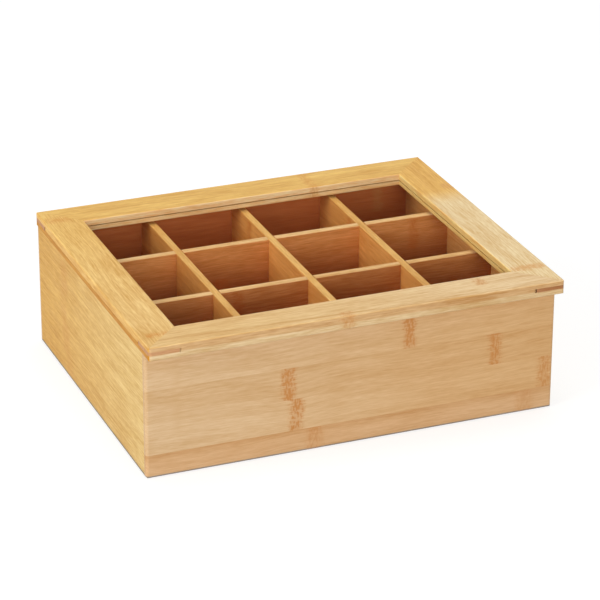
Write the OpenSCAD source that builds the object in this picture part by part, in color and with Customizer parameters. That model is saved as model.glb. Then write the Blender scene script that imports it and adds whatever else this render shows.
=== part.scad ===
// Tea bag organizer box: a bamboo box with a grid of compartments and a hinged, glazed lid.
// Origin: centre of the box's underside. +X to the right, +Y to the back, +Z up.

/* [Box] */
// Outside width of the box, left to right
box_w = 308; // [260:1:340]
// Outside depth of the box, front to back
box_d = 243; // [200:1:270]
// Height of the walls
wall_h = 94; // [75:1:120]
// Thickness of the left and right walls
side_t = 12.5; // [9:0.5:14]
// Thickness of the front and back walls
front_t = 8; // [7.5:0.5:12]
// Thickness that the front and back walls keep where they lap over the side walls' ends
corner_lip = 4; // [3.5:0.5:5]
// Radius of the box's four upright corners
corner_r = 2.5; // [1.5:0.5:3]
// Width of the small bevels along the upper edges of the walls and dividers
bevel = 0.5; // [0.3:0.1:0.8]
// Width of the bevels along the box's lower outer edges
foot_bevel = 1.2; // [0.6:0.2:2]

/* [Bottom] */
// Thickness of the bottom panel
bottom_t = 5; // [4:0.5:8]
// How far the bottom panel reaches in under the walls
bottom_rabbet = 4; // [2:0.5:5]

/* [Compartments] */
// Thickness of the dividers
divider_t = 5.5; // [4:0.5:7]
// How far the dividers' tops lie below the rim
divider_drop = 2.3; // [1:0.1:8]
// Depth of the grooves in the walls that hold the dividers' ends
dado_d = 3; // [2:0.5:4]
// Play round the dividers in their grooves and in each other's notches
grid_play = 0.1; // [0.05:0.05:0.2]

/* [Lid] */
// Overhang of the lid past each side wall
lid_side_overhang = 0.75; // [0:0.25:4]
// Overhang of the lid past the front wall, for the fingers
lid_lip = 12; // [6:1:18]
// Thickness of the lid frame
lid_t = 10.2; // [9:0.2:13]
// Width of the lid frame's rails and stiles
frame_w = 28.5; // [24:0.5:36]
// Radius of the lid frame's long edges
edge_r = 1.2; // [0.6:0.2:1.6]
// Radius of the lid's four upright corners
lid_corner_r = 2.5; // [1:0.5:3]

/* [Corner keys] */
// Length of a key's two short sides, along the lid's edges
key_leg = 22; // [14:1:26]
// Thickness of the keys
key_t = 2.8; // [1.6:0.2:3.2]
// How far the keys lie above the middle of the lid's thickness
key_rise = 0.4; // [0:0.1:0.8]
// How much longer than the key its saw cut is
key_cut_over = 1.5; // [0.5:0.5:3]

/* [Window] */
// Thickness of the pane
pane_t = 1.5; // [1:0.5:3]
// Thickness of the frame's lip above the pane's groove
pane_lip = 4.6; // [3.6:0.2:5.2]
// Depth of the pane's groove
pane_groove_d = 6; // [4:0.5:8]
// Play over the pane in its groove
pane_play = 0.4; // [0.2:0.1:0.8]
// Play between the pane's edge and the groove's bottom
pane_edge_play = 0.5; // [0.3:0.1:1]

/* [Hinges] */
// Length of each hinge
hinge_len = 30; // [26:1:40]
// Distance of each hinge's middle from the box's nearer side
hinge_inset = 59; // [45:1:90]
// How far the hinge leaves reach in over the walls
leaf_reach = 6.5; // [6:0.5:7]
// Thickness of the hinge leaves
leaf_t = 1; // [0.8:0.1:1.4]
// How far each closed leaf lies below the surface that it is let into
leaf_recess = 0.15; // [0.15:0.05:0.3]
// Outside radius of the hinge knuckles
knuckle_r = 2.5; // [2.2:0.1:3]
// Radius of the hinge pins
pin_r = 1; // [0.8:0.1:1.2]
// Radial play of the pin in the lid's knuckle
pin_play = 0.05; // [0.02:0.01:0.1]
// Gap between moving hinge parts, and between the knuckles and the wood
hinge_gap = 0.3; // [0.3:0.05:0.5]
// Play round the hinge leaves in the wood
mortise_play = 0.1; // [0.05:0.05:0.2]
// Height and overhang of the pins' peened heads
pin_head = 0.5; // [0.3:0.1:0.8]

/* [Screws] */
// Distance of each screw from its hinge's middle
screw_x = 9; // [8:0.5:10]
// Distance of the screws from the back of the box
screw_inset = 3.6; // [3:0.1:4]
// Radius of a screw's shank
shank_r = 1; // [0.8:0.1:1.2]
// Radius of a screw's countersunk head
head_r = 1.9; // [1.6:0.1:2.2]
// Height of a screw's countersunk head
head_h = 0.8; // [0.6:0.1:0.8]
// Length of the screws in the box
box_screw_len = 12; // [8:1:16]
// Length of the screws in the lid
lid_screw_len = 7; // [5:0.5:7.5]
// Length of a screw's point
point_len = 1.5; // [1:0.5:2]
// Width of the slot across a screw's head
head_slot_w = 0.5; // [0.4:0.1:0.8]
// Depth of the slot across a screw's head
head_slot_d = 0.4; // [0.3:0.1:0.5]

/* [Hidden] */

$fn = 48;

// Compartments from left to right and from front to back
columns = 4;
rows = 3;

// A small overshoot, so that cuts pass clean through a face
over = 1;

inner_w = box_w - 2 * side_t;
inner_d = box_d - 2 * front_t;
cell_w = (inner_w - (columns - 1) * divider_t) / columns;
cell_d = (inner_d - (rows - 1) * divider_t) / rows;
divider_h = wall_h - divider_drop - bottom_t;
slot_w = divider_t + 2 * grid_play;

lid_w = box_w + 2 * lid_side_overhang;
lid_d = box_d + lid_lip;
lid_front = box_d / 2 - lid_d;
lid_back = box_d / 2;
lid_middle = (lid_front + lid_back) / 2;
pane_seat = lid_t - pane_lip - pane_play - pane_t;
key_z = (lid_t - key_t) / 2 + key_rise;

axis_y = box_d / 2 + knuckle_r + hinge_gap;
hinge_x = box_w / 2 - hinge_inset;
knuckle_len = (hinge_len - 2 * hinge_gap) / 3;
leaf_d = axis_y - box_d / 2 + leaf_reach;
screw_y = box_d / 2 - screw_inset - axis_y;

bamboo = [0.90, 0.74, 0.47];
bamboo_side = [0.85, 0.69, 0.45];
bamboo_pale = [0.90, 0.76, 0.56];
bamboo_dark = [0.72, 0.50, 0.28];
clear_sheet = [0.86, 0.92, 0.92, 0.3];
brass = [0.80, 0.66, 0.36];

// Middle of the cross divider with this number, counted from the left
function cross_x(number) = -inner_w / 2 + number * (cell_w + divider_t) - divider_t / 2;

// Middle of the long divider with this number, counted from the front
function long_y(number) = -inner_d / 2 + number * (cell_d + divider_t) - divider_t / 2;

// A rectangle from the origin with four round corners
module round_rectangle(w, h, r) {
    translate([r, 0]) square([w - 2 * r, h]);
    translate([0, r]) square([w, h - 2 * r]);
    for (x = [r, w - r], y = [r, h - r]) translate([x, y]) circle(r);
}

// What rounding takes away from a corner at the origin
module corner_waste(r) {
    difference() {
        translate([-over, -over]) square(r + over);
        translate([r, r]) circle(r);
        translate([r, -over]) square([over, r + 2 * over]);
        translate([-over, r]) square([r + 2 * over, over]);
    }
}

// What the bevels along the box's lower outer edges take away
module foot_bevels() {
    for (side = [-1, 1]) {
        translate([0, side * box_d / 2, 0]) foot_bevel_strip(box_w);
        translate([side * box_w / 2, 0, 0]) rotate(90) foot_bevel_strip(box_d);
    }
}

module foot_bevel_strip(length) {
    side = foot_bevel * sqrt(2);
    rotate([45, 0, 0]) cube([length + 2 * over, side, side], center = true);
}

// The room that the bottom panel takes up under the walls
module bottom_room(drop) {
    w = inner_w + 2 * bottom_rabbet;
    d = inner_d + 2 * bottom_rabbet;
    translate([-w / 2, -d / 2, -drop]) cube([w, d, bottom_t + drop]);
}

// Grooves that reach into the front and back walls, one for each cross divider
module cross_dadoes() {
    for (number = [1 : columns - 1])
        translate([cross_x(number) - slot_w / 2, -inner_d / 2 - dado_d, bottom_t])
            cube([slot_w, inner_d + 2 * dado_d, wall_h]);
}

// Grooves that reach into the left and right walls, one for each long divider
module long_dadoes() {
    for (number = [1 : rows - 1])
        translate([-inner_w / 2 - dado_d, long_y(number) - slot_w / 2, bottom_t])
            cube([inner_w + 2 * dado_d, slot_w, wall_h]);
}

// A board along X with bevelled upper edges, standing on the XY plane over the origin
module board(length, t, h) {
    face = t / 2;
    section = [
        [-face, 0], [face, 0], [face, h - bevel], [face - bevel, h],
        [bevel - face, h], [-face, h - bevel]
    ];
    rotate([90, 0, 90]) linear_extrude(length, center = true) polygon(section);
}

// The front wall. Its ends lap over the side walls.
module full_width_wall() {
    difference() {
        translate([0, (front_t - box_d) / 2, 0]) board(box_w, front_t, wall_h);
        for (end = [0, 1]) mirror([end, 0, 0]) translate([-box_w / 2, -box_d / 2, -over]) {
            linear_extrude(wall_h + 2 * over) corner_waste(corner_r);
            translate([-over, corner_lip, 0]) cube([side_t + over, front_t, wall_h + 2 * over]);
        }
        foot_bevels();
        bottom_room(over);
        cross_dadoes();
    }
}

// The left wall, between the laps of the front and back walls
module side_wall() {
    difference() {
        translate([(side_t - box_w) / 2, 0, 0]) rotate(90) board(box_d - 2 * corner_lip, side_t, wall_h);
        foot_bevels();
        bottom_room(over);
        long_dadoes();
    }
}

// A screw's outside, pointing down, with the top of its head at the origin
module screw_shape(length) {
    translate([0, 0, -head_h]) cylinder(h = head_h, r1 = shank_r, r2 = head_r);
    translate([0, 0, point_len - length]) cylinder(h = length - point_len, r = shank_r);
    translate([0, 0, -length]) cylinder(h = point_len, r1 = 0, r2 = shank_r);
}

module screw(length) {
    difference() {
        screw_shape(length);
        translate([-head_r - over, -head_slot_w / 2, -head_slot_d])
            cube([2 * (head_r + over), head_slot_w, head_slot_d + over]);
    }
}

// Places the children at both hinges, with the hinge axis as origin
module at_hinges() {
    for (side = [-1, 1]) at_hinge(side) children();
}

module at_hinge(side) {
    translate([side * hinge_x, axis_y, wall_h]) children();
}

// Places the children at a hinge's two screws, on the face of the lower leaf
module at_screws() {
    for (side = [-1, 1])
        translate([side * screw_x, screw_y, -leaf_recess]) children();
}

// The recess for a hinge leaf in the rim of the back wall, with holes drilled for its screws
module leaf_mortise(screw_length) {
    depth = leaf_recess + leaf_t;
    translate([-hinge_len / 2 - mortise_play, -leaf_d - mortise_play, -depth])
        cube([hinge_len + 2 * mortise_play, leaf_d + mortise_play, depth + over]);
    at_screws() translate([0, 0, -screw_length]) cylinder(h = screw_length, r = shank_r);
}

// A hinge leaf below the seam. Its knuckles are at the ends or in the middle.
module leaf(middle, bore_r) {
    inner_x = knuckle_len / 2;
    outer_x = hinge_len / 2;
    spans = middle ? [[-inner_x, inner_x]]
                   : [[-outer_x, -inner_x - hinge_gap], [inner_x + hinge_gap, outer_x]];
    gaps = middle ? [[-outer_x - over, -inner_x], [inner_x, outer_x + over]]
                  : [[-inner_x - hinge_gap, inner_x + hinge_gap]];
    difference() {
        union() {
            difference() {
                translate([-outer_x, -leaf_d, -leaf_recess - leaf_t]) cube([hinge_len, leaf_d, leaf_t]);
                for (span = gaps) barrel(span, knuckle_r + hinge_gap);
            }
            for (span = spans) barrel(span, knuckle_r);
        }
        barrel([-outer_x - over, outer_x + over], bore_r);
        at_screws() screw_shape(box_screw_len);
    }
}

// A cylinder along X, over the stretch from span[0] to span[1]
module barrel(span, r) {
    translate([span[0], 0, 0]) rotate([0, 90, 0]) cylinder(h = span[1] - span[0], r = r);
}

// Turns what belongs under the seam over into the lid
module into_lid() {
    mirror([0, 0, 1]) children();
}

// Cross-section of the lid frame: outer edge at x = 0, underside at y = 0
module member_section() {
    difference() {
        round_rectangle(frame_w, lid_t, edge_r);
        translate([frame_w - pane_groove_d, pane_seat]) square([pane_groove_d + over, pane_t + pane_play]);
    }
}

// A corner key or its saw cut, in the corner at the origin
module key_shape(leg) {
    translate([0, 0, key_z]) linear_extrude(key_t) polygon([[0, 0], [leg, 0], [0, leg]]);
}

// One mitred member of the lid frame, with its outer edge along X
module frame_member(length) {
    difference() {
        rotate([90, 0, 90]) linear_extrude(length, center = true) member_section();
        for (end = [0, 1]) mirror([end, 0, 0]) translate([-length / 2, 0, 0]) {
            translate([0, 0, -over]) linear_extrude(lid_t + 2 * over) {
                polygon([[-over, -over], [frame_w + over, frame_w + over], [-over, frame_w + over]]);
                corner_waste(lid_corner_r);
            }
            key_shape(key_leg + key_cut_over);
        }
    }
}

module front_wall() {
    color(bamboo_side) full_width_wall();
}

module back_wall() {
    color(bamboo_side) difference() {
        mirror([0, 1, 0]) full_width_wall();
        at_hinges() leaf_mortise(box_screw_len);
    }
}

module left_wall() {
    color(bamboo) side_wall();
}

module right_wall() {
    color(bamboo) mirror([1, 0, 0]) side_wall();
}

module bottom_panel() {
    color(bamboo_dark) bottom_room(0);
}

// Runs from front to back. Its notches are open below.
module cross_divider(number) {
    length = inner_d + 2 * (dado_d - grid_play);
    color(bamboo) difference() {
        translate([cross_x(number), 0, bottom_t]) rotate(90) board(length, divider_t, divider_h);
        for (crossing = [1 : rows - 1])
            translate([cross_x(number) - divider_t, long_y(crossing) - slot_w / 2, 0])
                cube([2 * divider_t, slot_w, bottom_t + divider_h / 2 + grid_play]);
    }
}

// Runs from left to right. Its notches are open above.
module long_divider(number) {
    length = inner_w + 2 * (dado_d - grid_play);
    color(bamboo_pale) difference() {
        translate([0, long_y(number), bottom_t]) board(length, divider_t, divider_h);
        for (crossing = [1 : columns - 1])
            translate([cross_x(crossing) - slot_w / 2, long_y(number) - divider_t, bottom_t + divider_h / 2])
                cube([slot_w, 2 * divider_t, divider_h]);
    }
}

module lower_hinge_leaf(side) {
    color(brass) at_hinge(side) leaf(false, pin_r);
}

module upper_hinge_leaf(side) {
    color(brass) at_hinge(side) into_lid() leaf(true, pin_r + pin_play);
}

module hinge_pin(side) {
    end = hinge_len / 2;
    color(brass) at_hinge(side) {
        barrel([-end, end], pin_r);
        barrel([-end - pin_head, -end], pin_r + pin_head);
        barrel([end, end + pin_head], pin_r + pin_head);
    }
}

module box_hinge_screws() {
    color(brass) at_hinges() at_screws() screw(box_screw_len);
}

module lid_hinge_screws() {
    color(brass) at_hinges() into_lid() at_screws() screw(lid_screw_len);
}

module lid_front_rail() {
    color(bamboo) translate([0, lid_front, wall_h]) frame_member(lid_w);
}

module lid_back_rail() {
    color(bamboo) difference() {
        translate([0, lid_back, wall_h]) rotate(180) frame_member(lid_w);
        at_hinges() into_lid() leaf_mortise(lid_screw_len);
    }
}

module lid_left_stile() {
    color(bamboo) translate([-lid_w / 2, lid_middle, wall_h]) rotate(-90) frame_member(lid_d);
}

module lid_right_stile() {
    color(bamboo) translate([lid_w / 2, lid_middle, wall_h]) rotate(90) frame_member(lid_d);
}

// A key lies in the saw cut across the mitre. The turn brings it from the front left corner's way.
module corner_key(x_side, y_side, turn) {
    color(bamboo_dark) translate([x_side * lid_w / 2, lid_middle + y_side * lid_d / 2, wall_h])
        rotate(turn) difference() {
            key_shape(key_leg);
            linear_extrude(lid_t) corner_waste(lid_corner_r);
        }
}

// Slides into the groove round the frame, and rests on the groove's lower side
module window_pane() {
    w = lid_w - 2 * frame_w + 2 * (pane_groove_d - pane_edge_play);
    d = lid_d - 2 * frame_w + 2 * (pane_groove_d - pane_edge_play);
    color(clear_sheet) translate([-w / 2, lid_middle - d / 2, wall_h + pane_seat]) cube([w, d, pane_t]);
}

front_wall();
back_wall();
left_wall();
right_wall();
bottom_panel();
cross_divider(1);  // cross_divider_left
cross_divider(2);  // cross_divider_middle
cross_divider(3);  // cross_divider_right
long_divider(1);  // long_divider_front
long_divider(2);  // long_divider_back
lower_hinge_leaf(-1);  // lower_hinge_leaf_left
lower_hinge_leaf(1);  // lower_hinge_leaf_right
hinge_pin(-1);  // hinge_pin_left
hinge_pin(1);  // hinge_pin_right
box_hinge_screws();
lid_front_rail();
lid_back_rail();
lid_left_stile();
lid_right_stile();
corner_key(-1, -1, 0);  // corner_key_front_left
corner_key(1, -1, 90);  // corner_key_front_right
corner_key(-1, 1, -90);  // corner_key_back_left
corner_key(1, 1, 180);  // corner_key_back_right
window_pane();
upper_hinge_leaf(-1);  // upper_hinge_leaf_left
upper_hinge_leaf(1);  // upper_hinge_leaf_right
lid_hinge_screws();
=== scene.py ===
from collections import namedtuple
from math import radians

import bpy
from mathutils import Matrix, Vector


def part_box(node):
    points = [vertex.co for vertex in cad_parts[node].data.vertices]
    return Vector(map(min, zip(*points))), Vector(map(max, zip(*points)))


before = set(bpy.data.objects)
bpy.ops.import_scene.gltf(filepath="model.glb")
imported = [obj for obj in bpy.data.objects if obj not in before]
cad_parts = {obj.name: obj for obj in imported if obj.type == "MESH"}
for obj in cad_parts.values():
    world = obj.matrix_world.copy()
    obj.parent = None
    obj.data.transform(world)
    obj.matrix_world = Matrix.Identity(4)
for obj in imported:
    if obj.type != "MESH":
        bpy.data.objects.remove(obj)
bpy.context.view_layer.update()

MM = 1000.0  # node coordinates are turned into millimetres
HALF_BOARD = 150.0  # a board changes from one end's colour to the other's within this of its middle

# How far the grain's dark and light lines depart from a board's own colour: red, green, blue
DARK = (0.82, 0.70, 0.52)
LIGHT = (1.14, 1.24, 1.42)
BROWN = (0.80, 0.51, 0.26)  # the same for culm joints and for fibres that are cut across
PALEST = 0.95  # no channel of a toned colour goes above this

STRIP = 24.2  # the strips that the walls are glued from, and the height where the first begins
FIRST_STRIP = -6.8

# Limits of the parts of a board that have a colour of their own, and of those with painted light and
# shade
FOOT_SHADE = 1.6  # height of the painted contact shade along the front and back walls' lower edge
# height of the same painted contact shade along the side walls' lower edge
SIDE_FOOT_SHADE = 2.6
LID_SEAM = 98.8  # the lid's boards are glued from two sheets, which meet at this height
FACE_MARGIN = 0.25  # an inner face's colour, painted shade on the walls and painted light on the lid, reaches this far into the board
SHADE_DEEPENING = 45.0  # a long divider's painted shade grows darker towards the bottom and reaches full over this much of its height
UPWARD = 0.6  # a face counts as a top where its normal rises more than this

# A culm joint: the range it crosses, its place along the grain, its half width and strength
Joint = namedtuple("Joint", "low high place width strength", defaults=(5.0, 1.0))

# A long dark line in the grain: where it crosses the middle, its slope, half width and strength
Vein = namedtuple("Vein", "across slope width strength", defaults=(0.0, 1.5, 1.0))


def srgb(red, green, blue):
    """A colour as picked on a screen, 0 to 255, in the linear values that shaders take."""
    channels = []
    for value in (red, green, blue):
        share = value / 255
        channels.append(share / 12.92 if share <= 0.04045 else ((share + 0.055) / 1.055) ** 2.4)
    return (*channels, 1.0)


def toned(colour, red, green, blue):
    """A linear colour with its channels scaled, kept below white."""
    scaled = [min(channel * factor, PALEST) for channel, factor in zip(colour, (red, green, blue))]
    return (*scaled, 1.0)


def strip_joint(number, place, width=5.0, strength=1.0):
    """A culm joint across one of the strips of a wall or a divider."""
    low = FIRST_STRIP + STRIP * number
    return Joint(low, low + STRIP, place, width, strength)


def inner_zone(node, axis, colour):
    """A board's face towards the middle, as a part for painted shade on the walls' inner faces and
    painted light on the lid's window reveals.
    """
    nearest = min(abs(corner["XYZ".index(axis)]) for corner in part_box(node))
    return (axis, nearest * MM + FACE_MARGIN, colour)


class Graph:
    """A material's nodes, built with short calls."""

    def __init__(self, name):
        self.material = bpy.data.materials.new(name)
        self.material.use_nodes = True
        self.tree = self.material.node_tree
        self.tree.nodes.clear()

    def plug(self, socket, value):
        if isinstance(value, bpy.types.NodeSocket):
            self.tree.links.new(value, socket)
        else:
            socket.default_value = value

    def add(self, kind, inputs=(), **settings):
        node = self.tree.nodes.new(kind)
        for name, value in settings.items():
            setattr(node, name, value)
        for name, value in dict(inputs).items():
            self.plug(node.inputs[name], value)
        return node

    def math(self, operation, *values):
        node = self.add("ShaderNodeMath", operation=operation)
        for socket, value in zip(node.inputs, values):
            self.plug(socket, value)
        return node.outputs[0]

    def noise(self, position, detail=2.0):
        inputs = {"Vector": position, "Scale": 1.0, "Detail": detail}
        return self.add("ShaderNodeTexNoise", inputs).outputs["Fac"]

    def pattern(self, *scale):
        """Noise with about this many features to the metre along each axis."""
        place = self.add("ShaderNodeTexCoord").outputs["Object"]
        scaled = self.add("ShaderNodeMapping", {"Vector": place, "Scale": scale})
        return self.noise(scaled.outputs[0])

    def ramp(self, value, low, high, to_low=0.0, to_high=1.0):
        inputs = {
            "Value": value, "From Min": low, "From Max": high,
            "To Min": to_low, "To Max": to_high,
        }
        return self.add("ShaderNodeMapRange", inputs, interpolation_type="SMOOTHSTEP").outputs[0]

    def mix(self, factor, first, second):
        node = self.add("ShaderNodeMix", data_type="RGBA")
        self.plug(node.inputs[0], factor)
        self.plug(node.inputs[6], first)
        self.plug(node.inputs[7], second)
        return node.outputs[2]

    def finish(self, shader):
        output = self.add("ShaderNodeOutputMaterial")
        self.tree.links.new(shader.outputs[0], output.inputs["Surface"])
        return self.material


class Board(Graph):
    """Laminated bamboo. u runs along the grain, v across the glued strips and w through both."""

    def __init__(self, name, along, across, seed, strip, start):
        super().__init__(name)
        self.seed = seed
        self.place = self.add("ShaderNodeTexCoord").outputs
        self.along = along
        axes = self.add("ShaderNodeSeparateXYZ", {"Vector": self.place["Object"]})
        self.millimetres = {axis: self.math("MULTIPLY", axes.outputs[axis], MM) for axis in "XYZ"}
        self.u = self.millimetres[along]
        self.v = self.millimetres[across]
        self.w = self.millimetres[({"X", "Y", "Z"} - {along, across}).pop()]
        steps = self.math("DIVIDE", self.math("SUBTRACT", self.v, start), strip)
        self.number = self.math("FLOOR", steps)
        self.rise = self.math("FRACT", steps)

    def stretched(self, length, width, across=None, detail=2.0):
        """Noise whose features are this long along the grain and this wide across it, in mm."""
        position = self.add("ShaderNodeCombineXYZ", {
            "X": self.math("MULTIPLY", self.u, 1 / length),
            "Y": self.math("MULTIPLY", across or self.v, 1 / width),
            "Z": self.math("MULTIPLY_ADD", self.w, 1 / width, self.seed * 7.3),
        }).outputs[0]
        return self.noise(position, detail)

    def chance(self, offset):
        """A random number for each strip."""
        where = self.math("ADD", self.number, self.seed + offset)
        dice = self.add("ShaderNodeTexWhiteNoise", {"W": where}, noise_dimensions="1D")
        return dice.outputs["Value"]

    def figure(self, strength):
        """Light and dark of the grain around 0.5, and the finest fibres by themselves."""
        wave = self.stretched(90, 40, detail=1.0)
        bent = self.math("MULTIPLY_ADD", wave, 7.0, self.v)
        bent = self.math("MULTIPLY_ADD", self.chance(3.7), 40.0, bent)
        fibres = self.stretched(20, 0.8, bent)
        tone = self.math("MULTIPLY_ADD", self.math("SUBTRACT", self.chance(0.5), 0.5), 0.18, 0.5)
        for layer, share in (
            (self.stretched(150, 22, bent, 1.0), 0.5),
            (self.stretched(30, 11, bent, 1.0), 0.6),
            (self.stretched(110, 5.5, bent), 0.6),
            (self.stretched(55, 1.9, bent), 0.8),
            (fibres, 1.2),
            (self.stretched(7, 0.9, bent, 1.0), 0.9),
        ):
            shift = self.math("MULTIPLY", self.math("SUBTRACT", layer, 0.5), share * strength)
            tone = self.math("ADD", tone, shift)
        bundles = self.ramp(self.stretched(16, 0.5, bent, 1.0), 0.62, 0.72, 0.0, 0.16 * strength)
        return self.math("SUBTRACT", tone, bundles), fibres

    def seams(self, tone, depths):
        """A fine glue line between strips. Some strips get darker towards the seam above them."""
        line = self.ramp(self.rise, 0.012, 0.0, 0.0, 0.12)
        tone = self.math("SUBTRACT", tone, line)
        for strip, depth in depths.items():
            here = self.math("COMPARE", self.number, strip, 0.5)
            dark = self.ramp(self.rise, 0.72, 1.0, 0.0, depth)
            tone = self.math("SUBTRACT", tone, self.math("MULTIPLY", here, dark))
        return tone

    def veins(self, tone, lines):
        """Single dark lines that follow the grain."""
        for vein in lines:
            middle = self.math("MULTIPLY_ADD", self.u, -vein.slope, self.v)
            away = self.math("ABSOLUTE", self.math("SUBTRACT", middle, vein.across))
            tone = self.math("SUBTRACT", tone, self.ramp(away, vein.width, 0.0, 0.0, vein.strength))
        return tone

    def joints(self, colour, marks, brown):
        """Brown bands with ragged ends and short ticks across the grain."""
        if not marks:
            return colour
        ragged = 12.0
        teeth = self.math("MULTIPLY_ADD", self.stretched(7, 1.2), ragged, -ragged / 2)
        ticks = self.ramp(self.stretched(1.2, 3.5), 0.38, 0.6, 0.4, 1.0)
        total = 0.0
        for mark in marks:
            away = self.math("ABSOLUTE", self.math("SUBTRACT", self.u, mark.place))
            away = self.math("ADD", away, teeth)
            band = self.ramp(away, mark.width * 1.5, mark.width * 0.3, 0.0, mark.strength)
            middle = (mark.low + mark.high) / 2
            here = self.math("COMPARE", self.v, middle, mark.high - middle)
            total = self.math("ADD", total, self.math("MULTIPLY", band, here))
        return self.mix(self.math("MULTIPLY", total, ticks), colour, brown)

    def normal(self, axis):
        """How far the surface faces along an axis, from -1 to 1."""
        return self.add("ShaderNodeSeparateXYZ", {"Vector": self.place["Normal"]}).outputs[axis]

    def zone(self, kind, limit):
        """1 below a height, deep in the box, on top or side faces, or within a limit of the middle."""
        if kind == "below":
            return self.ramp(self.millimetres["Z"], limit + 0.2, limit - 0.2)
        if kind == "deep":
            return self.ramp(self.millimetres["Z"], limit, limit - SHADE_DEEPENING)
        if kind == "top":
            return self.ramp(self.normal("Z"), limit - 0.2, limit + 0.2)
        if kind == "side":
            return self.ramp(self.normal("Z"), limit - 0.2, limit + 0.2, 1.0, 0.0)
        return self.ramp(self.math("ABSOLUTE", self.millimetres[kind]), limit + 0.3, limit)

    def cut_ends(self, colour, brown):
        """Fibre bundles show as fine dots where the board is cut across."""
        per_millimetre = 1.7
        end = self.ramp(self.math("ABSOLUTE", self.normal(self.along)), 0.8, 0.97)
        position = self.add("ShaderNodeCombineXYZ", {
            "X": self.math("MULTIPLY", self.v, per_millimetre),
            "Y": self.math("MULTIPLY", self.w, per_millimetre),
        }).outputs[0]
        dots = self.ramp(self.noise(position, 1.0), 0.5, 0.66, 0.05, 0.35)
        return self.mix(self.math("MULTIPLY", end, dots), colour, brown)


def bamboo(name, along, across, seed, ends, strip=STRIP, start=FIRST_STRIP, strength=1.0,
           gloss=0.3, turn=(-HALF_BOARD, HALF_BOARD), marks=(), seams=None, lines=(), zones=()):
    """A board of lacquered bamboo. Sizes are in millimetres, in the part's own frame.

    along and across name the axes of the grain and of the glued strips, and start is where the
    first strip begins. ends gives two colours, and turn says where along the grain the first
    begins to change and where it is the second. gloss is the strength of the lacquer's mirror
    image. seams gives the darkening of strips by their number, and lines are veins. zones lists
    parts with a colour of their own or with painted light and shade: kind, limit and colour.
    """
    board = Board(name, along, across, seed, strip, start)
    tone, fibres = board.figure(strength)
    tone = board.seams(tone, seams or {})
    tone = board.veins(tone, lines)
    blend = board.ramp(board.u, *turn)
    shades = []
    for scale in (DARK, LIGHT):
        shade = board.mix(blend, *(toned(end, *scale) for end in ends))
        for kind, limit, other in zones:
            shade = board.mix(board.zone(kind, limit), shade, toned(other, *scale))
        shades.append(shade)
    colour = board.mix(tone, *shades)
    brown = toned(ends[0], *BROWN)
    colour = board.joints(colour, marks, brown)
    colour = board.cut_ends(colour, brown)
    relief = board.add("ShaderNodeBump", {"Height": fibres, "Strength": 0.3, "Distance": 0.00006})
    shader = board.add("ShaderNodeBsdfPrincipled", {
        "Base Color": colour, "Normal": relief.outputs[0],
        "Roughness": board.ramp(fibres, 0.3, 0.7, 0.56, 0.46),
        "Specular IOR Level": gloss,
    })
    return board.finish(shader)


def clear_sheet():
    """A thin clear pane that bends what is seen through it, and lets the lamps through."""
    graph = Graph("clear_sheet")
    tint = (0.985, 0.99, 0.985, 1.0)
    bending = 1.49
    mirror_strength = 0.03
    bend = graph.add("ShaderNodeBsdfRefraction", {"Color": tint, "IOR": bending})
    smears = graph.ramp(graph.pattern(30, 12, 30), 0.3, 0.7, 0.02, 0.06)
    mirror = graph.add("ShaderNodeBsdfGlossy", {"Roughness": smears})
    bounce = graph.add("ShaderNodeFresnel", {"IOR": bending}).outputs[0]
    front = graph.math("SUBTRACT", 1.0, graph.add("ShaderNodeNewGeometry").outputs["Backfacing"])
    share = graph.math("MULTIPLY", graph.math("MULTIPLY", bounce, front), mirror_strength)
    sheet = graph.add("ShaderNodeMixShader", {0: share, 1: bend.outputs[0], 2: mirror.outputs[0]})
    clear = graph.add("ShaderNodeBsdfTransparent", {"Color": tint})
    rays = graph.add("ShaderNodeLightPath").outputs
    light = graph.math("MAXIMUM", rays["Is Shadow Ray"], rays["Is Diffuse Ray"])
    shader = graph.add("ShaderNodeMixShader", {0: light, 1: sheet.outputs[0], 2: clear.outputs[0]})
    return graph.finish(shader)


def brass():
    """Rolled brass, satin, with a faint brushed grain along the hinge and some tarnish."""
    graph = Graph("brass")
    brushed = graph.pattern(120, 2600, 2600)
    tarnish = graph.ramp(graph.pattern(260, 260, 260), 0.35, 0.75)
    colour = graph.mix(tarnish, srgb(214, 178, 104), srgb(170, 128, 66))
    relief = graph.add("ShaderNodeBump", {"Height": brushed, "Strength": 0.2, "Distance": 0.00005})
    shader = graph.add("ShaderNodeBsdfPrincipled", {
        "Base Color": colour, "Metallic": 1.0, "Roughness": graph.ramp(brushed, 0.3, 0.7, 0.26, 0.4),
        "Normal": relief.outputs[0],
    })
    return graph.finish(shader)


def dress(node, material):
    """Gives a CAD node its material."""
    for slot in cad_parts[node].material_slots:
        slot.material = material


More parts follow.
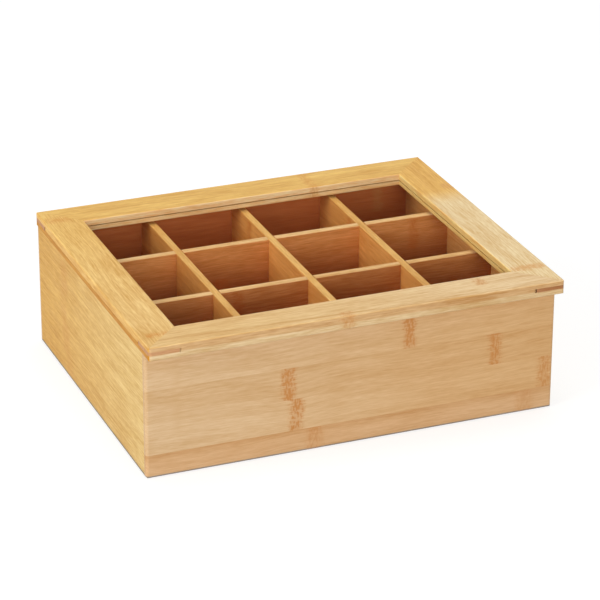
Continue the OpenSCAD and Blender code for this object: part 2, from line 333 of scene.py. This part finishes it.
def dress_walls():
    # Painted contact shade: the walls' lower edges are coloured dark grey-brown.
    foot_shade = ("below", FOOT_SHADE, srgb(152, 136, 120))
    side_foot_shade = ("below", SIDE_FOOT_SHADE, srgb(146, 130, 110))
    lowest_strip = ("below", FIRST_STRIP + STRIP, srgb(217, 173, 124))
    # Painted shade on the walls' inner faces, darker and deeper than their outsides.
    inner_shade = srgb(194, 110, 54)
    front = (srgb(220, 184, 138), srgb(216, 172, 118))
    dress("front_wall", bamboo(
        "bamboo_front", "X", "Z", 1.0, front, strength=0.55, seams={0: 0.4, 2: 0.1},
        zones=[lowest_strip, inner_zone("front_wall", "Y", inner_shade), foot_shade],
        marks=[
            strip_joint(0, -30, 6, 0.6), strip_joint(0, 132, 7, 0.4), strip_joint(1, -43.5),
            strip_joint(1, 147, 5, 0.8), strip_joint(2, -49.5), strip_joint(2, 108, 4.5),
            strip_joint(3, 41.5, 4.5),
        ]))
    dress("back_wall", bamboo(
        "bamboo_back", "X", "Z", 2.0, front, strength=0.8, seams={1: 0.2},
        zones=[inner_zone("back_wall", "Y", inner_shade), foot_shade],
        marks=[
            strip_joint(0, 62), strip_joint(1, -96, 6, 0.8), strip_joint(1, 74),
            strip_joint(2, 20, 6, 0.6), strip_joint(3, 118, 4, 0.7),
        ]))
    side = (srgb(231, 195, 122), srgb(219, 166, 74))
    dress("left_wall", bamboo(
        "bamboo_left", "Y", "Z", 3.0, side, gloss=0.2,
        zones=[inner_zone("left_wall", "X", inner_shade), side_foot_shade],
        marks=[
            strip_joint(0, 48, 8, 0.3), strip_joint(1, 56, 8, 0.5), strip_joint(2, 60, 8, 0.4),
            strip_joint(3, 57, 8, 0.5),
        ]))
    dress("right_wall", bamboo(
        "bamboo_right", "Y", "Z", 4.0, side, gloss=0.2,
        # A lighter painted shade on the right wall's inner face.
        zones=[inner_zone("right_wall", "X", srgb(212, 150, 84)), side_foot_shade],
        marks=[
            strip_joint(0, -40, 6, 0.7), strip_joint(1, 70), strip_joint(2, -64, 6, 0.8),
            strip_joint(3, -110, 7, 0.6),
        ]))


def dress_inside():
    panel = srgb(196, 128, 70)
    strip = 20
    spots = (
        (-5, 20), (-4, -70), (-3, 88), (-2, -10), (-1, 40),
        (0, -90), (1, 66), (2, 4), (3, -44), (4, 100),
    )
    dress("bottom_panel", bamboo(
        "bamboo_bottom", "X", "Y", 5.0, (panel, panel), strip=strip, start=0, strength=1.2,
        marks=[Joint(strip * row, strip * (row + 1), place) for row, place in spots]))
    # The dividers' faces carry painted shade: darker and deeper than their lighter tops.
    cross = srgb(224, 154, 78)
    for number, side in enumerate(("left", "middle", "right")):
        dress("cross_divider_" + side, bamboo(
            "bamboo_cross_" + side, "Y", "Z", 6.0 + number, (cross, cross),
            zones=[("top", UPWARD, srgb(228, 174, 96))],
            marks=[
                strip_joint(1, 30 - 40 * number), strip_joint(2, -60 + 50 * number, 5, 0.8),
                strip_joint(3, 96 - 20 * number, 4, 0.6),
            ]))
    # Painted shade on the long dividers' faces, growing darker towards the bottom below shade_start.
    for number, (side, shade, shade_start) in enumerate((
        ("front", srgb(202, 130, 70), 96.0), ("back", srgb(217, 143, 78), 86.0),
    )):
        dress("long_divider_" + side, bamboo(
            "bamboo_long_" + side, "X", "Z", 9.0 + number, (shade, shade), strength=1.2,
            zones=[("deep", shade_start, srgb(172, 92, 44)), ("top", UPWARD, srgb(234, 188, 126))],
            marks=[
                strip_joint(1, 20), strip_joint(2, -100 + 60 * number, 5, 0.8),
                strip_joint(3, -56 + 170 * number, 4, 0.7),
            ]))


def dress_lid():
    """The frame's boards are two sheets thick: each has one colour on top and two at the sides, where
    the upper sheet's side colour is painted light and shade for how the sides are lit.
    """
    dress("lid_front_rail", bamboo(
        "bamboo_front_rail", "X", "Y", 11.0, (srgb(222, 182, 118), srgb(225, 190, 138)),
        strip=60, start=-140, lines=[Vein(-129.7, -0.044, 1.6, 0.5)],
        zones=[("side", UPWARD, srgb(210, 166, 112)), ("below", LID_SEAM, srgb(221, 188, 138))],
        marks=[Joint(-134, -126, -10, 5, 0.6), Joint(-119, -108, 98, 4, 0.7)]))
    dress("lid_back_rail", bamboo(
        "bamboo_back_rail", "X", "Y", 12.0, (srgb(229, 183, 95), srgb(231, 185, 97)),
        strip=60, start=81,
        zones=[
            ("side", UPWARD, srgb(226, 180, 112)), ("below", LID_SEAM, srgb(222, 174, 112)),
            # Painted light on the window's back reveal.
            inner_zone("lid_back_rail", "Y", srgb(252, 207, 152)),
        ],
        marks=[Joint(93, 122, 56, 4, 0.5)]))
    dress("lid_left_stile", bamboo(
        "bamboo_left_stile", "Y", "X", 13.0, (srgb(231, 191, 122), srgb(231, 186, 103)),
        strip=60, start=-160, strength=1.1, gloss=0.15,
        zones=[("side", UPWARD, srgb(236, 189, 108)), ("below", LID_SEAM, srgb(209, 146, 48))],
        marks=[Joint(-152, -134, 101, 5, 0.6), Joint(-150, -134, -114, 3, 0.7)]))
    dress("lid_right_stile", bamboo(
        "bamboo_right_stile", "Y", "X", 14.0, (srgb(236, 208, 156), srgb(229, 178, 88)),
        strip=60, start=115, turn=(22, 55),
        zones=[
            ("side", UPWARD, srgb(228, 182, 112)), ("below", LID_SEAM, srgb(214, 164, 96)),
            # Painted light on the window's right reveal.
            inner_zone("lid_right_stile", "X", srgb(252, 205, 128)),
        ],
        marks=[Joint(128, 153, -103, 4, 0.8), Joint(146, 156, 58, 6, 0.7)]))
    brown = (srgb(200, 146, 98), srgb(176, 120, 74))
    key = bamboo("bamboo_key", "X", "Y", 15.0, brown, strip=60, start=-160)
    for corner in ("front_left", "front_right", "back_left", "back_right"):
        dress("corner_key_" + corner, key)
    dress("window_pane", clear_sheet())


def dress_hinges():
    metal = brass()
    for side in ("left", "right"):
        dress("lower_hinge_leaf_" + side, metal)
        dress("upper_hinge_leaf_" + side, metal)
        dress("hinge_pin_" + side, metal)
    dress("box_hinge_screws", metal)
    dress("lid_hinge_screws", metal)


def white_floor():
    """White where it is seen or mirrored, with a share of plain diffuse for the contact shadow."""
    graph = Graph("floor_white")
    rays = graph.add("ShaderNodeLightPath").outputs
    seen = graph.math("MAXIMUM", rays["Is Camera Ray"], rays["Is Transmission Ray"])
    seen = graph.math("MAXIMUM", seen, rays["Is Glossy Ray"])
    grey_as_light = (0.6, 0.6, 0.6, 1.0)
    grey_as_seen = (0.9, 0.9, 0.9, 1.0)
    glow_share = 0.55
    shade = graph.mix(seen, grey_as_light, grey_as_seen)
    diffuse = graph.add("ShaderNodeBsdfDiffuse", {"Color": shade})
    glow = graph.add("ShaderNodeEmission", {"Color": (1.0, 1.0, 1.0, 1.0), "Strength": 1.26})
    white = graph.add("ShaderNodeMixShader", {
        0: graph.math("MULTIPLY", seen, glow_share), 1: diffuse.outputs[0], 2: glow.outputs[0],
    })
    mesh = bpy.data.meshes.new("floor")
    reach = 4.0
    corners = [(-reach, -reach, 0), (reach, -reach, 0), (reach, reach, 0), (-reach, reach, 0)]
    mesh.from_pydata(corners, [], [(0, 1, 2, 3)])
    floor = bpy.data.objects.new("floor", mesh)
    bpy.context.collection.objects.link(floor)
    mesh.materials.append(graph.finish(white))


def white_room():
    """White where it is seen or mirrored, and dimmer as light."""
    room_light = 0.42
    world = bpy.data.worlds.new("studio")
    bpy.context.scene.world = world
    world.use_nodes = True
    tree = world.node_tree
    background = tree.nodes["Background"]
    rays = tree.nodes.new("ShaderNodeLightPath")
    seen = tree.nodes.new("ShaderNodeMath")
    seen.operation = "MAXIMUM"
    tree.links.new(rays.outputs["Is Camera Ray"], seen.inputs[0])
    tree.links.new(rays.outputs["Is Glossy Ray"], seen.inputs[1])
    strength = tree.nodes.new("ShaderNodeMapRange")
    strength.inputs["To Min"].default_value = room_light
    strength.inputs["To Max"].default_value = 1.0
    tree.links.new(seen.outputs[0], strength.inputs["Value"])
    tree.links.new(strength.outputs[0], background.inputs["Strength"])
    background.inputs["Color"].default_value = (1.0, 1.0, 1.0, 1.0)


def lamps():
    """Three large soft lamps that point at the box."""
    for name, spot, width, power in (
        ("key", (-2.2, -0.4, 1.2), 1.4, 28.0),
        ("front", (-0.4, -2.6, 0.8), 1.2, 28.0),
        ("top", (0.2, 0.3, 2.4), 1.6, 17.0),
    ):
        lamp = bpy.data.lights.new(name, "AREA")
        lamp.size = width
        lamp.energy = power
        lamp.color = (1.0, 0.99, 0.97)
        holder = bpy.data.objects.new(name, lamp)
        holder.location = spot
        holder.rotation_euler = holder.location.to_track_quat("Z", "Y").to_euler()
        bpy.context.collection.objects.link(holder)


def photograph_camera():
    """The photograph's viewpoint: from the left of the front, 24 degrees above it."""
    lens = bpy.data.cameras.new("camera")
    lens.lens = 176.03
    lens.sensor_width = 36.0
    lens.clip_end = 20.0
    camera = bpy.data.objects.new("camera", lens)
    camera.location = (-0.7215, -1.8131, 0.9380)
    camera.rotation_euler = (radians(65.737), radians(-0.201), radians(-21.818))
    bpy.context.collection.objects.link(camera)
    bpy.context.scene.camera = camera


dress_walls()
dress_inside()
dress_lid()
dress_hinges()
white_floor()
white_room()
lamps()
photograph_camera()
bpy.context.scene.view_settings.view_transform = "Standard"
